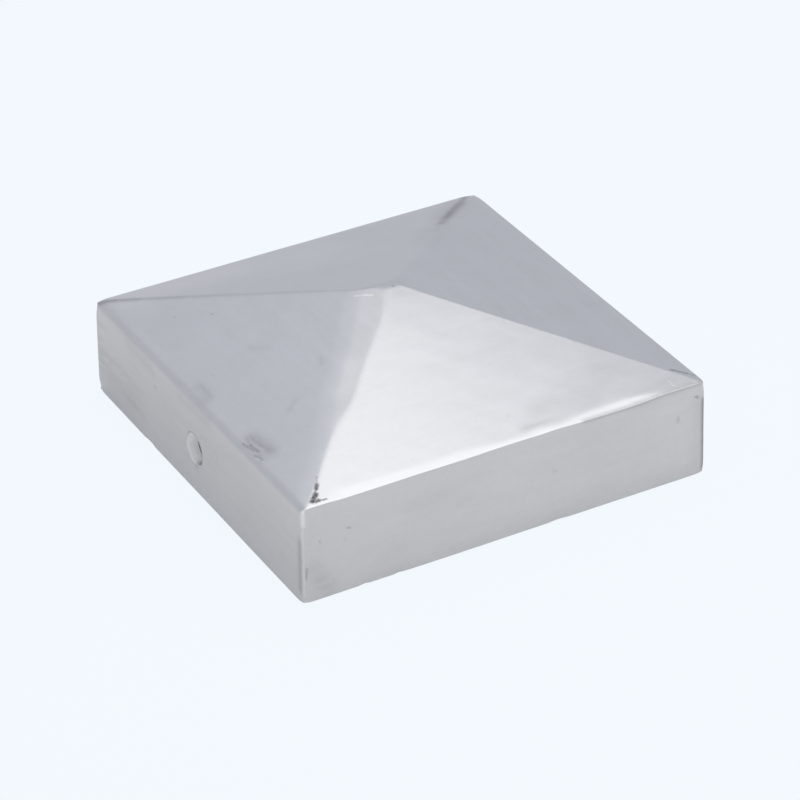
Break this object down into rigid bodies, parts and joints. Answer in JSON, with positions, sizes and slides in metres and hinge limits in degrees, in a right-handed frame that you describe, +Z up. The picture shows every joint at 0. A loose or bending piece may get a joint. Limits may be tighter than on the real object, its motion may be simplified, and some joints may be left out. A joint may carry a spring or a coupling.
{
  "type": "post cap",
  "caption": "Square cast aluminium post cap with a low hipped roof, a ground eave and a plain screw hole in opposite skirt walls; it slides over the head of a square post.",
  "frame": {"origin": "middle of the rim, in the plane that the rim stands on", "axes": "+Z up through the tip of the roof; the screw holes face -X and +X, and -Y is the plain skirt wall seen in front"},
  "size_m": [0.096, 0.096, 0.0357],
  "materials": {
    "cast_aluminium": "satin, ground by hand, bare"
  },
  "bodies": {
    "root": {"post_cap": "cast_aluminium"}
  },
  "joints": []
}
